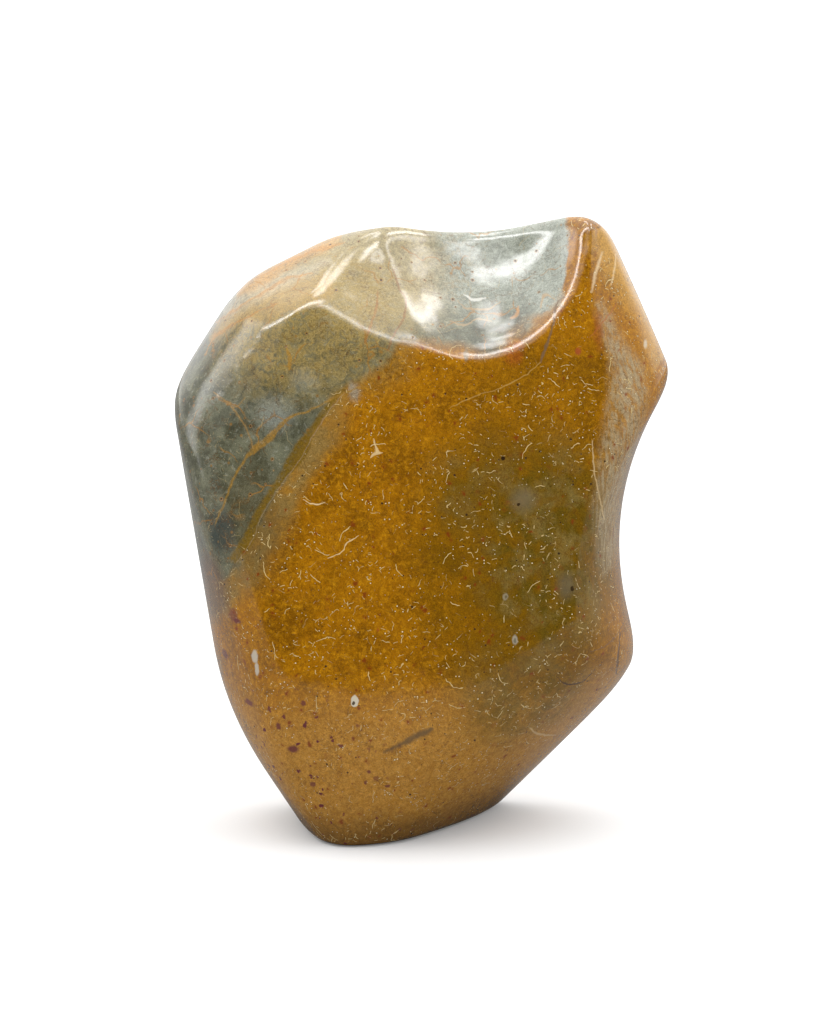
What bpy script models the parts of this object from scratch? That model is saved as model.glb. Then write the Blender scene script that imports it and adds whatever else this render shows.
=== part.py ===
"""Polished free-form jasper stone, standing on a flat cut across its foot.

The stone is shaped in the order it is ground. A block is taken back one face
after another, some faces flat, some crowned and a few hollow, and the edge
that each face leaves is rounded over. The dish and the small facet beside it
are hollowed out of the top last. The vertices of a subdivided block
are then drawn in along their own lines from a point inside the stone until
each one meets the ground surface.

Lengths are in millimetres from the heart until the mesh is placed. The front
looks along -Y. A bearing turns clockwise round the outline as seen from the
front, 0 up and 90 to the right. A tilt leans a face towards the front, so 90
faces the front and -90 faces the back.
"""

from math import cos, pi, radians, sin
from typing import NamedTuple

import bmesh
import bpy
import numpy as np

NODE_NAME = "jasper_stone"
OBJECT_NAME = "polished_jasper_freeform"

BASE_BELOW_HEART = 69.2
FRONT_BEFORE_HEART = 26.5
BACK_BEHIND_HEART = 26.0
FLAT = 0.0

BLOCK_CENTRE = (27.0, 6.0, 0.0)
BLOCK_PROPORTIONS = (57.0, 31.0, 70.0)
BLOCK_CUTS = 27
REACH_LIMIT = 110.0
BISECTIONS = 40
BASE_SNAP = 0.05
RIM_EDGE = 4.2
METRES_PER_MM = 0.001

JASPER_OCHRE = (0.34, 0.18, 0.035, 1.0)
POLISH_ROUGHNESS = 0.1


class Face(NamedTuple):
    """One ground face: a point on it, the way it looks, its crown, its edge rounding and its crown's turn."""

    at: tuple
    bearing: float
    tilt: float
    around: float
    through: float
    edge: float
    turn: float = 0.0


FACES = (
    # The broad front leans back, its left part turns away and its foot curls under.
    Face((0.0, -FRONT_BEFORE_HEART, 0.0), 10.0, 77.5, 400.0, 420.0, 8.0),
    Face((-28.0, -24.2, 11.0), -58.0, 64.0, FLAT, 300.0, 1.6),
    Face((-8.0, -32.2, -48.0), 180.0, 77.0, 120.0, FLAT, 4.0),
    Face((0.0, BACK_BEHIND_HEART, 0.0), 180.0, -86.0, 120.0, 350.0, 8.0),
    # Left side, from its fullest point down to the foot.
    Face((-54.5, 2.0, 12.0), -99.0, 6.0, FLAT, 60.0, 5.0),
    Face((-53.5, 2.0, -30.0), -107.0, 4.0, FLAT, 60.0, 5.0),
    Face((-39.0, 0.0, -52.0), -123.0, 0.0, FLAT, 60.0, 5.0),
    # Left shoulder and the long slope up to the peak, front and back of the skyline.
    Face((-51.0, 2.0, 37.5), -56.0, 18.0, FLAT, 45.0, 4.0),
    Face((-30.0, -1.0, 57.5), -24.5, 22.5, FLAT, FLAT, 2.5),
    Face((-18.0, 12.0, 68.6), -27.5, -22.0, FLAT, FLAT, 4.0),
    # Sagging top behind the dish, then the brow on the right, front and back, with
    # the horn's blunt tip between them.
    Face((9.0, 8.0, 69.7), -2.5, -24.0, -150.0, FLAT, 5.0),
    Face((52.3, 4.0, 48.5), 66.0, 22.0, FLAT, 60.0, 8.0),
    Face((36.0, 4.0, 73.4), 8.0, -14.0, FLAT, FLAT, 4.0),
    Face((53.5, 14.0, 50.0), 64.0, -22.0, FLAT, FLAT, 7.0),
    # Right side below the waist, and the undercut between front and foot.
    Face((52.5, 0.0, -26.0), 102.0, 4.0, FLAT, 50.0, 4.0),
    Face((35.8, 13.0, -55.4), 134.0, -4.0, FLAT, 60.0, 5.0),
    Face((19.4, -16.0, -52.6), 135.0, 33.0, FLAT, 120.0, 7.0),
    # The hollow of the waist.
    Face((46.8, 0.0, 3.5), 96.5, 9.0, -66.0, 60.0, 4.0),
    # The cut that the stone stands on.
    Face((0.0, 0.0, -BASE_BELOW_HEART), 180.0, 0.0, FLAT, FLAT, 2.0),
)

TOP_HOLLOWS = (
    # The small three-cornered facet, and the dish whose long wall runs up to the horn.
    Face((-18.6, -1.0, 64.0), 26.5, 50.7, -82.0, -43.0, 1.0, -12.0),
    Face((25.3, -3.6, 52.0), -26.5, 32.5, -24.0, -45.0, 0.8, -27.0),
)


def clear_scene():
    """Remove every object, so the part starts from nothing."""
    for old in list(bpy.data.objects):
        bpy.data.objects.remove(old, do_unlink=True)


def curvature(crown_radius):
    """Return one over a crown radius, or nothing for a flat."""
    return 0.0 if crown_radius == FLAT else 1.0 / crown_radius


def height_over_face(points, face):
    """Return how far each point stands outside one ground face."""
    bearing = radians(face.bearing)
    tilt = radians(face.tilt)
    turn = radians(face.turn)
    outward = np.array([sin(bearing) * cos(tilt), -sin(tilt), cos(bearing) * cos(tilt)])
    along_outline = np.array([cos(bearing), 0.0, -sin(bearing)])
    front_to_back = np.array([sin(bearing) * sin(tilt), cos(tilt), cos(bearing) * sin(tilt)])
    first_axis = cos(turn) * along_outline + sin(turn) * front_to_back
    second_axis = cos(turn) * front_to_back - sin(turn) * along_outline
    offset = points - np.array(face.at)
    crown = 0.5 * curvature(face.around) * (offset @ first_axis) ** 2
    crown += 0.5 * curvature(face.through) * (offset @ second_axis) ** 2
    return offset @ outward + crown


def joined(height, other, edge):
    """Return the higher of two heights, with the edge between them rounded over."""
    nearness = np.maximum(edge - np.abs(height - other), 0.0) / edge
    return np.maximum(height, other) + 0.25 * edge * nearness ** 2


def height_over_faces(points, faces):
    """Return how far each point stands outside a run of ground faces."""
    height = height_over_face(points, faces[0])
    for face in faces[1:]:
        height = joined(height, height_over_face(points, face), face.edge)
    return height


def height_over_stone(points):
    """Return how far each point stands outside the stone, with every edge rounded."""
    body = height_over_faces(points, FACES)
    top = height_over_faces(points, TOP_HOLLOWS)
    return joined(body, top, RIM_EDGE)


def block_directions(block):
    """Return the direction from the block's centre to each vertex of the subdivided block."""
    corners = np.array([vertex.co[:] for vertex in block.verts])
    evened = np.tan(corners * pi / 4.0)
    evened /= np.linalg.norm(evened, axis=1, keepdims=True)
    directions = evened * np.array(BLOCK_PROPORTIONS)
    return directions / np.linalg.norm(directions, axis=1, keepdims=True)


def drawn_in(directions):
    """Return the point along each direction that lies on the ground surface."""
    centre = np.array(BLOCK_CENTRE)
    inside = np.zeros(len(directions))
    outside = np.full(len(directions), REACH_LIMIT)
    for _ in range(BISECTIONS):
        middle = 0.5 * (inside + outside)
        buried = height_over_stone(centre + directions * middle[:, None]) < 0.0
        inside = np.where(buried, middle, inside)
        outside = np.where(buried, outside, middle)
    points = centre + directions * inside[:, None]
    on_base = points[:, 2] < BASE_SNAP - BASE_BELOW_HEART
    points[on_base, 2] = -BASE_BELOW_HEART
    return points


def placed(points):
    """Return the points in metres, with the origin centred under the stone on its base."""
    low = points.min(axis=0)
    high = points.max(axis=0)
    origin = np.array([0.5 * (low[0] + high[0]), 0.5 * (low[1] + high[1]), low[2]])
    return (points - origin) * METRES_PER_MM


def polished_jasper():
    """Return the stone's material."""
    material = bpy.data.materials.new("polished_jasper")
    material.use_nodes = True
    shader = material.node_tree.nodes["Principled BSDF"]
    shader.inputs["Base Color"].default_value = JASPER_OCHRE
    shader.inputs["Roughness"].default_value = POLISH_ROUGHNESS
    return material


def ground_stone():
    """Build the stone and return its object."""
    block = bmesh.new()
    bmesh.ops.create_cube(block, size=2.0)
    bmesh.ops.subdivide_edges(block, edges=block.edges[:], cuts=BLOCK_CUTS, use_grid_fill=True)
    points = placed(drawn_in(block_directions(block)))
    for vertex, point in zip(block.verts, points):
        vertex.co = point
    bmesh.ops.recalc_face_normals(block, faces=block.faces[:])
    mesh = bpy.data.meshes.new(NODE_NAME)
    block.to_mesh(mesh)
    block.free()
    mesh.shade_smooth()
    mesh.materials.append(polished_jasper())
    return bpy.data.objects.new(NODE_NAME, mesh)


def main():
    """Build the part in a collection of its own."""
    clear_scene()
    collection = bpy.data.collections.new(OBJECT_NAME)
    bpy.context.scene.collection.children.link(collection)
    collection.objects.link(ground_stone())


main()
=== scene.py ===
"""The polished jasper free-form, dressed: one ground stone with its markings, in a white studio.

The scene is in metres. The stone's own sizes are in millimetres from its heart, a point
inside it: x runs to the right, y to the back and z up.
"""

from __future__ import annotations

import logging
import math
from dataclasses import dataclass
from enum import Enum
from typing import Optional, Sequence, Tuple, Union

import bmesh
import bpy
import numpy as np
from mathutils import Matrix, Vector


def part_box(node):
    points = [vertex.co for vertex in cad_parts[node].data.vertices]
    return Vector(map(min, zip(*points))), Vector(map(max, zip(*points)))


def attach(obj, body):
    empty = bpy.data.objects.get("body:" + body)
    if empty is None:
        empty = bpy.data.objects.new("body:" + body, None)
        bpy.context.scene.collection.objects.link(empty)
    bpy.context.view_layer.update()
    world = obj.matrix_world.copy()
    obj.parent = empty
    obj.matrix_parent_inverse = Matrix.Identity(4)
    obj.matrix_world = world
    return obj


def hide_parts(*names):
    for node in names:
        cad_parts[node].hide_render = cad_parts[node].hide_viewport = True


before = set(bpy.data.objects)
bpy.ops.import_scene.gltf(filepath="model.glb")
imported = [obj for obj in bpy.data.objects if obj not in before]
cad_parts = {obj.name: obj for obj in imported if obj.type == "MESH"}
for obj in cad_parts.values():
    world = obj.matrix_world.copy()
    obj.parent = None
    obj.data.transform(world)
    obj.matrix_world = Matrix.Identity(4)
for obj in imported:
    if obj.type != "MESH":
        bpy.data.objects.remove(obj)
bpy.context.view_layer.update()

NODE_NAME = "jasper_stone"
BODY_NAME = "root"
SLOT_NAME = "polished_jasper"
MM_PER_METRE = 1000.0
FLAT = 0.0
NEAR_ZERO = 0.001

Place = Tuple[float, float, float]
Spot = Tuple[float, float]
Tint = Tuple[float, float, float]
Span = Tuple[float, float]
Number = Union["Signal", float]

log = logging.getLogger("jasper")


class Signal:
    """A value on its way through a finish, on which arithmetic adds nodes."""

    def __init__(self, bench: "NodeBench", socket: bpy.types.NodeSocket) -> None:
        """Holds one output socket.

        Args:
            bench: the node tree that the socket is in.
            socket: the output that carries the value.
        """
        self.bench = bench
        self.socket = socket

    def __add__(self, other: Number) -> "Signal":
        """The sum."""
        return self.bench.math("ADD", self, other)

    def __radd__(self, other: float) -> "Signal":
        """The sum."""
        return self.bench.math("ADD", self, other)

    def __sub__(self, other: Number) -> "Signal":
        """The difference."""
        return self.bench.math("SUBTRACT", self, other)

    def __rsub__(self, other: float) -> "Signal":
        """The difference, from a plain number."""
        return self.bench.math("SUBTRACT", other, self)

    def __mul__(self, other: Number) -> "Signal":
        """The product."""
        return self.bench.math("MULTIPLY", self, other)

    def __rmul__(self, other: float) -> "Signal":
        """The product."""
        return self.bench.math("MULTIPLY", self, other)

    def __truediv__(self, other: Number) -> "Signal":
        """The quotient."""
        return self.bench.math("DIVIDE", self, other)

    def size(self) -> "Signal":
        """The value without its sign."""
        return self.bench.math("ABSOLUTE", self)

    def least(self, other: Number) -> "Signal":
        """The smaller of the two."""
        return self.bench.math("MINIMUM", self, other)

    def most(self, other: Number) -> "Signal":
        """The larger of the two."""
        return self.bench.math("MAXIMUM", self, other)

    def step(self, start: float, end: float) -> "Signal":
        """A soft step: 0 before start, 1 past end, or the other way round where end comes first."""
        return self.bench.step(self, start, end)


class NodeBench:
    """Lays the nodes of one tree, each as one step of a sum."""

    def __init__(self, tree: bpy.types.NodeTree) -> None:
        """Clears the tree.

        Args:
            tree: the material's or the world's node tree.
        """
        self.tree = tree
        self.tree.nodes.clear()

    def node(self, kind: str, inputs: Optional[dict] = None, **settings: object) -> bpy.types.Node:
        """Adds one node.

        Args:
            kind: the node's type name.
            inputs: values or signals by input name or place.
            settings: the node's own properties.

        Returns:
            The node.
        """
        made = self.tree.nodes.new(kind)
        for name, value in settings.items():
            setattr(made, name, value)
        for name, value in (inputs or {}).items():
            self.feed(made.inputs[name], value)
        return made

    def feed(self, socket: bpy.types.NodeSocket, value: object) -> None:
        """Sets a socket, or links it where the value is a signal."""
        if isinstance(value, Signal):
            self.tree.links.new(value.socket, socket)
        elif isinstance(value, tuple) and socket.type == "RGBA":
            socket.default_value = (*value[:3], 1.0)
        else:
            socket.default_value = value

    def signal(self, node: bpy.types.Node, output: Union[str, int] = 0) -> Signal:
        """One of a node's outputs."""
        return Signal(self, node.outputs[output])

    def math(self, operation: str, first: Number, second: Number = 0.0, third: Number = 0.0) -> Signal:
        """One step of arithmetic.

        Args:
            operation: the Math node's operation.
            first: the first number.
            second: the second number, where the operation has one.
            third: the third number, where the operation has one.

        Returns:
            The result.
        """
        step = {0: first, 1: second, 2: third}
        return self.signal(self.node("ShaderNodeMath", step, operation=operation))

    def vector(
        self, operation: str, first: object, second: object = (0.0, 0.0, 0.0), third: object = None
    ) -> Signal:
        """One step of arithmetic on places.

        Args:
            operation: the Vector Math node's operation.
            first: the first place.
            second: the second place, where the operation has one.
            third: the third place, where the operation has one.

        Returns:
            The resulting place, or the number for a length or a dot product.
        """
        step = {0: first, 1: second}
        if third is not None:
            step[2] = third
        made = self.node("ShaderNodeVectorMath", step, operation=operation)
        return self.signal(made, "Value" if operation in ("LENGTH", "DOT_PRODUCT") else "Vector")

    def scaled(self, place: Signal, by: Number) -> Signal:
        """A place times a number."""
        return self.signal(self.node("ShaderNodeVectorMath", {0: place, "Scale": by}, operation="SCALE"))

    def parts(self, place: Signal) -> Tuple[Signal, Signal, Signal]:
        """The three numbers of a place or of a colour."""
        made = self.node("ShaderNodeSeparateXYZ", {0: place})
        return self.signal(made, 0), self.signal(made, 1), self.signal(made, 2)

    def step(self, value: Signal, start: float, end: float) -> Signal:
        """A soft step of a value: 0 at start and 1 at end."""
        ends = {"Value": value, "From Min": start, "From Max": end}
        return self.signal(self.node("ShaderNodeMapRange", ends, interpolation_type="SMOOTHSTEP"))

    def cells(self, place: Signal, width: float, edges: bool = False) -> bpy.types.Node:
        """Cells of one width, each with its own middle and colour.

        Args:
            place: where they are read, in millimetres.
            width: the width of one cell, in millimetres.
            edges: whether the distance is to the cell's edge and not to its middle.

        Returns:
            The cell node.
        """
        feature = "DISTANCE_TO_EDGE" if edges else "F1"
        return self.node("ShaderNodeTexVoronoi", {"Vector": place, "Scale": 1.0 / width}, feature=feature)

    def curve(self, value: Signal, heights: Sequence[Spot]) -> Signal:
        """A smooth curve drawn through given points whose numbers all lie between 0 and 1.

        Args:
            value: the place along the curve.
            heights: the points, each its place along and its height.

        Returns:
            The curve's height.
        """
        made = self.node("ShaderNodeFloatCurve", {"Value": value})
        line = made.mapping.curves[0]
        while len(line.points) < len(heights):
            line.points.new(0.5, 0.5)
        for point, (along, height) in zip(line.points, heights):
            point.location = (along, height)
            point.handle_type = "AUTO_CLAMPED"
        made.mapping.update()
        return self.signal(made)

    def blend(self, share: Number, under: object, over: object) -> Signal:
        """One colour laid over another.

        Args:
            share: how much of the upper colour shows, from 0 to 1.
            under: the lower colour.
            over: the upper colour.

        Returns:
            The colour.
        """
        made = self.node("ShaderNodeMix", data_type="RGBA", blend_type="MIX", clamp_factor=True)
        self.feed(made.inputs[0], share)
        self.feed(made.inputs[6], under)
        self.feed(made.inputs[7], over)
        return self.signal(made, 2)

    def shade(self, colour: Signal, by: Signal) -> Signal:
        """A colour made darker or lighter by a number."""
        return self.scaled(colour, by)


@dataclass(frozen=True)
class GroundFace:
    """One face that the stone was ground to.

    Args:
        at: a point of the face.
        bearing: the way it looks as a clock hand seen from the front, in degrees from straight up.
        tilt: how far it looks to the front, in degrees.
        around: the radius of its crown along the outline, negative where it is hollow.
        through: the radius of its crown from front to back, negative where it is hollow.
        edge: how widely it is eased into its neighbours.
        turn: how far its crown is turned on the face, in degrees.
    """

    at: Place
    bearing: float
    tilt: float
    around: float
    through: float
    edge: float
    turn: float = 0.0

    def height(self, points: np.ndarray) -> np.ndarray:
        """How far points stand above the face.

        Args:
            points: places from the heart, one a row.

        Returns:
            One height for each row, negative inside the stone.
        """
        bearing, tilt, turn = (math.radians(a) for a in (self.bearing, self.tilt, self.turn))
        aside, ahead = math.sin(bearing), math.cos(bearing)
        outward = np.array((aside * math.cos(tilt), -math.sin(tilt), ahead * math.cos(tilt)))
        along = np.array((ahead, 0.0, -aside))
        across = np.array((aside * math.sin(tilt), math.cos(tilt), ahead * math.sin(tilt)))
        from_face = points - np.array(self.at)
        round_way = from_face @ (math.cos(turn) * along + math.sin(turn) * across)
        through_way = from_face @ (math.cos(turn) * across - math.sin(turn) * along)
        crown = 0.5 * self.bow(self.around) * round_way**2
        crown += 0.5 * self.bow(self.through) * through_way**2
        return from_face @ outward + crown

    @staticmethod
    def bow(radius: float) -> float:
        """The curvature of a crown's radius, 0 where the face is flat."""
        return 1.0 / radius if radius else 0.0


STONE_FACES = (
    # The broad front leans back, its left part turns away and its foot curls under.
    GroundFace((0.0, -26.5, 0.0), 10.0, 77.5, 400.0, 420.0, 8.0),
    GroundFace((-28.0, -24.2, 11.0), -58.0, 64.0, FLAT, 300.0, 1.6),
    GroundFace((-8.0, -32.2, -48.0), 180.0, 77.0, 120.0, FLAT, 4.0),
    GroundFace((0.0, 26.0, 0.0), 180.0, -86.0, 120.0, 350.0, 8.0),
    # Left side, from its fullest point down to the foot.
    GroundFace((-54.5, 2.0, 12.0), -99.0, 6.0, FLAT, 60.0, 5.0),
    GroundFace((-53.5, 2.0, -30.0), -107.0, 4.0, FLAT, 60.0, 5.0),
    GroundFace((-39.0, 0.0, -52.0), -123.0, 0.0, FLAT, 60.0, 5.0),
    # Left shoulder and the long slope up to the peak, front and back of the skyline.
    GroundFace((-51.0, 2.0, 37.5), -56.0, 18.0, FLAT, 45.0, 4.0),
    GroundFace((-30.0, -1.0, 57.5), -24.5, 22.5, FLAT, FLAT, 2.5),
    GroundFace((-18.0, 12.0, 68.6), -27.5, -22.0, FLAT, FLAT, 4.0),
    # Sagging top behind the dish, then the brow on the right, front and back, with
    # the horn's blunt tip between them.
    GroundFace((9.0, 8.0, 69.7), -2.5, -24.0, -150.0, FLAT, 5.0),
    GroundFace((52.3, 4.0, 48.5), 66.0, 22.0, FLAT, 60.0, 8.0),
    GroundFace((36.0, 4.0, 73.4), 8.0, -14.0, FLAT, FLAT, 4.0),
    GroundFace((53.5, 14.0, 50.0), 64.0, -22.0, FLAT, FLAT, 7.0),
    # Right side below the waist, and the undercut between front and foot.
    GroundFace((52.5, 0.0, -26.0), 102.0, 4.0, FLAT, 50.0, 4.0),
    GroundFace((35.8, 13.0, -55.4), 134.0, -4.0, FLAT, 60.0, 5.0),
    GroundFace((19.4, -16.0, -52.6), 135.0, 33.0, FLAT, 120.0, 7.0),
    # The hollow of the waist.
    GroundFace((46.8, 0.0, 3.5), 96.5, 9.0, -66.0, 60.0, 4.0),
    # The cut that the stone stands on.
    GroundFace((0.0, 0.0, -69.2), 180.0, 0.0, FLAT, FLAT, 2.0),
)

TOP_HOLLOWS = (
    # The small three-cornered facet, and the dish whose long wall runs up to the horn.
    GroundFace((-18.6, -1.0, 64.0), 26.5, 50.7, -82.0, -43.0, 1.0, -12.0),
    GroundFace((25.3, -3.6, 52.0), -26.5, 32.5, -24.0, -45.0, 0.8, -27.0),
)


@dataclass(frozen=True)
class Noise:
    """One kind of cloudy noise.

    Args:
        grain: the width of one cloud, in millimetres.
        detail: how many finer layers it has.
        rough: how strong the finer layers are.
        bend: how far it folds over itself.
        reach: how far it moves a place about, about half of this each way.
    """

    grain: float
    detail: float = 2.0
    rough: float = 0.5
    bend: float = 0.0
    reach: float = 0.0

    def node(self, place: Signal) -> bpy.types.Node:
        """The noise, read at a place."""
        looks = {
            "Vector": place,
            "Scale": 1.0 / self.grain,
            "Detail": self.detail,
            "Roughness": self.rough,
            "Distortion": self.bend,
        }
        return place.bench.node("ShaderNodeTexNoise", looks)

    def at(self, place: Signal) -> Signal:
        """The noise as one number, around a half."""
        return place.bench.signal(self.node(place), 0)

    def moved(self, place: Signal) -> Signal:
        """A place moved about by the noise.

        Args:
            place: the place, in millimetres.

        Returns:
            The place moved.
        """
        bench = place.bench
        push = bench.vector("SUBTRACT", bench.signal(self.node(place), 1), (0.5, 0.5, 0.5))
        return bench.vector("ADD", place, bench.scaled(push, self.reach))


@dataclass(frozen=True)
class Show:
    """How strongly a marking shows, as a soft step of some value.

    Args:
        start: the value where it begins to rise.
        end: the value where it has risen.
        gain: how much it rises.
        base: how strong it is before start.
    """

    start: float
    end: float
    gain: float = 1.0
    base: float = 0.0

    def of(self, value: Signal) -> Signal:
        """The strength at a value.

        Args:
            value: the value.

        Returns:
            The strength.
        """
        strength = value.step(self.start, self.end)
        if self.gain != 1.0:
            strength = strength * self.gain
        return strength + self.base if self.base else strength


@dataclass(frozen=True)
class Blot:
    """A rounded patch of another colour inside the stone.

    Args:
        middle: its middle.
        reach: its half widths along x, y and z.
        tint: its colour, where it is laid by itself.
        share: how much of it shows.
        fade: how softly it ends, as a part of its reach.
    """

    middle: Place
    reach: Place
    tint: Tint = (0.0, 0.0, 0.0)
    share: float = 1.0
    fade: float = 0.3

    def mask(self, place: Signal) -> Signal:
        """Where the patch is.

        Args:
            place: the place, in millimetres from the heart.

        Returns:
            Its share, from 0 outside.
        """
        shrink = tuple(1.0 / r for r in self.reach)
        shift = tuple(-m / r for m, r in zip(self.middle, self.reach))
        bench = place.bench
        away = bench.vector("LENGTH", bench.vector("MULTIPLY_ADD", place, shrink, shift))
        return away.step(1.0 + self.fade, 1.0 - self.fade) * self.share

    def laid(self, place: Signal, colour: Signal) -> Signal:
        """The colour with the patch laid over it."""
        return place.bench.blend(self.mask(place), colour, self.tint)


@dataclass(frozen=True)
class Vein:
    """A seam or crack drawn through given points of the front, and right through the stone.

    Args:
        points: its course, each point x and z.
        widths: its half width at each point.
        tint: its colour.
        share: how much of it shows.
        fade: how far its edge takes to end, in millimetres.
        depth: how far it is sunk, in parts of the relief.
        shift: how far it is drawn to the side of its course.
    """

    points: Tuple[Spot, ...]
    widths: Tuple[float, ...]
    tint: Tint
    share: float = 1.0
    fade: float = 0.25
    depth: float = 0.0
    shift: float = 0.0

    def course(self, place: Signal) -> Tuple[Signal, Signal]:
        """The place along the vein and its distance from it.

        Args:
            place: the place, in millimetres from the heart.

        Returns:
            The share of the way along, and the signed distance across.
        """
        bench = place.bench
        start, end = np.array(self.points[0]), np.array(self.points[-1])
        chord = float(np.linalg.norm(end - start))
        along = (end - start) / chord
        across = np.array((-along[1], along[0]))
        steps = [(np.array(p) - start) for p in self.points]
        span = max(abs(float(s @ across)) for s in steps) * CURVE_ROOM + 1.0
        heights = [(float(s @ along) / chord, 0.5 + float(s @ across) / span) for s in steps]
        way = bench.vector("DOT_PRODUCT", place, (along[0] / chord, 0.0, along[1] / chord))
        way = way - float(start @ along) / chord
        side = bench.vector("DOT_PRODUCT", place, (across[0], 0.0, across[1]))
        side = side - float(start @ across)
        bow = (bench.curve(way, heights) - 0.5) * span
        return way, side - bow - self.shift

    def mask(self, place: Signal) -> Signal:
        """Where the vein is, from the front of the stone through to its back.

        Args:
            place: the place, in millimetres from the heart.

        Returns:
            Its share, from 0 outside.
        """
        way, gap = self.course(place)
        widest = max(self.widths)
        last = len(self.widths) - 1
        ratios = [(i / last, w / widest) for i, w in enumerate(self.widths)]
        width = place.bench.curve(way, ratios) * widest
        inside = (width - gap.size()).step(-self.fade, self.fade)
        return inside * VEIN_ENDS.of((way - 0.5).size()) * self.share


@dataclass(frozen=True)
class Fleck:
    """One kind of fleck, of which some cells of the stone have one each.

    Args:
        cell: how far apart they are.
        half_width: half the width of one.
        share: the part of the cells that has one.
        strength: how strongly one shows.
        ring: how strongly the edge round it shows: for hairs and pinpoints a painted shadow that darkens
            it, for pits and rust specks a ring of colour.
        reach: half the length of the longest hair.
        bow: the radius of a hair's bend.
    """

    cell: float
    half_width: float
    share: float
    strength: float
    ring: float = 0.0
    reach: float = 0.0
    bow: float = 1.0

    def chosen(self, pick: Signal) -> Signal:
        """Whether a cell has one, by the cell's own chance number."""
        return pick.step(self.share, self.share - CHOICE_EDGE)

    def hairs(self, place: Signal, normal: Signal) -> Tuple[Signal, Signal]:
        """Short bowed hairs, each of an even width on the surface.

        Args:
            place: the place, in millimetres from the heart.
            normal: the way the surface looks.

        Returns:
            The hairs, and the edge beside each, where a painted shadow is laid.
        """
        bench = place.bench
        cell = bench.cells(place, self.cell)
        chance = bench.vector("SUBTRACT", bench.signal(cell, "Color"), (0.5, 0.5, 0.5))
        way = bench.vector("NORMALIZE", chance)
        off = bench.vector("SUBTRACT", place, bench.signal(cell, "Position"))
        arm = bench.vector("ADD", off, bench.scaled(way, self.bow))
        length = bench.vector("LENGTH", arm)
        facing = bench.vector("DOT_PRODUCT", arm, normal) / length
        thin = bench.math("SQRT", (1.0 - facing * facing).most(LEAST_THIN))
        across = (length - self.bow).size() / thin
        pick, stretch, _ = bench.parts(bench.signal(cell, "Color"))
        reach = stretch * (self.reach * 0.7) + self.reach * 0.3
        along = (bench.vector("LENGTH", off) - reach).step(HAIR_END, -HAIR_END) * self.chosen(pick)
        core = across.step(self.half_width * 1.35, self.half_width * 0.55) * along
        rim = across.step(self.half_width * 3.0, self.half_width * 1.2) * along
        return core, rim

    def dots(self, place: Signal) -> Tuple[Signal, Signal]:
        """Round dots.

        Args:
            place: the place, in millimetres from the heart.

        Returns:
            The dots, and the ring round each.
        """
        bench = place.bench
        cell = bench.cells(place, self.cell)
        pick, stretch, _ = bench.parts(bench.signal(cell, "Color"))
        away = bench.signal(cell, "Distance") * self.cell
        size = stretch * (self.half_width * 0.8) + self.half_width * 0.5
        chosen = self.chosen(pick)
        return (away / size).step(1.15, 0.7) * chosen, (away / size).step(2.2, 1.1) * chosen


class Flecks(Enum):
    """The kinds of fleck in the polish."""

    LONG_HAIRS = Fleck(6.0, 0.085, 0.50, 0.8, 0.3, reach=2.6, bow=5.5)
    MIDDLE_HAIRS = Fleck(2.9, 0.085, 0.75, 0.7, 0.25, reach=1.3, bow=3.2)
    SHORT_HAIRS = Fleck(1.5, 0.080, 0.85, 0.75, 0.28, reach=0.62, bow=1.8)
    PINPOINTS = Fleck(1.0, 0.14, 0.70, 0.95, 0.4)
    PITS = Fleck(2.4, 0.24, 0.55, 0.9, 0.55)
    MAROON_SPECKS = Fleck(2.6, 0.50, 0.75, 1.0)
    RUST_SPECKS = Fleck(3.1, 0.40, 0.65, 0.6, 0.3)


# How softly a cell's choice and a hair's ends are cut, and the least a hair on edge is widened by.
CHOICE_EDGE = 0.03
HAIR_END = 0.12
LEAST_THIN = 0.04

# The room that a drawn course has to each side in its curve, and how a vein's ends taper off.
CURVE_ROOM = 2.2
VEIN_ENDS = Show(0.515, 0.485)

# The noises that move places about, so that edges wander and lines sway.
SWIRL = Noise(15.0, reach=7.0)
WANDER = Noise(2.6, reach=1.5)
PATCH_SWAY = Noise(4.0, reach=1.6)
PATCH_RAGS = Noise(1.6, reach=2.4)
NET_SWAY = Noise(6.0, reach=7.0)
SEAM_SWAY = Noise(2.0, reach=0.9)
RING_SWAY = Noise(3.0, reach=1.2)
HAIR_SWAY = Noise(1.5, 1.0, reach=0.9)
SPECK_SWAY = Noise(1.3, 1.0, reach=1.7)
MARK_SWAY = Noise(1.3, reach=0.7)

# The noises that the colours follow.
BILLOWS = Noise(9.0, 3.0, 0.55)
GRIT = Noise(1.1, 4.0, 0.68, 0.6)
TINGE = Noise(6.0, 4.0, 0.6)
OLIVE_RAGS = Noise(4.5, 4.0, 0.65)
SLATE = Noise(5.0, 4.0, 0.6)
MOTTLE = Noise(1.8, 5.0, 0.7, 1.4)
WAIST_RUNS = Noise(0.9, 3.0, 0.6)
RUNS_STRETCH = (1.0, 1.0, 0.22)
THREADS = Noise(8.0, 1.0)
FOLDS = Noise(7.0, 4.0, 0.62, 1.6)
CREASES = Noise(6.0, 1.0)
WEAR = Noise(0.8, 3.0, 0.65)
CUT_PATCHES = Noise(2.0)
CROWDS = Noise(10.0)
FIBRES = Noise(0.8, 3.0, 0.6, 3.2)
DULLNESS = Noise(3.0, 3.0, 0.6)
SWELL = Noise(5.0, 1.0)
TOOTH = Noise(0.9, 1.0, 0.6)

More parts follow.
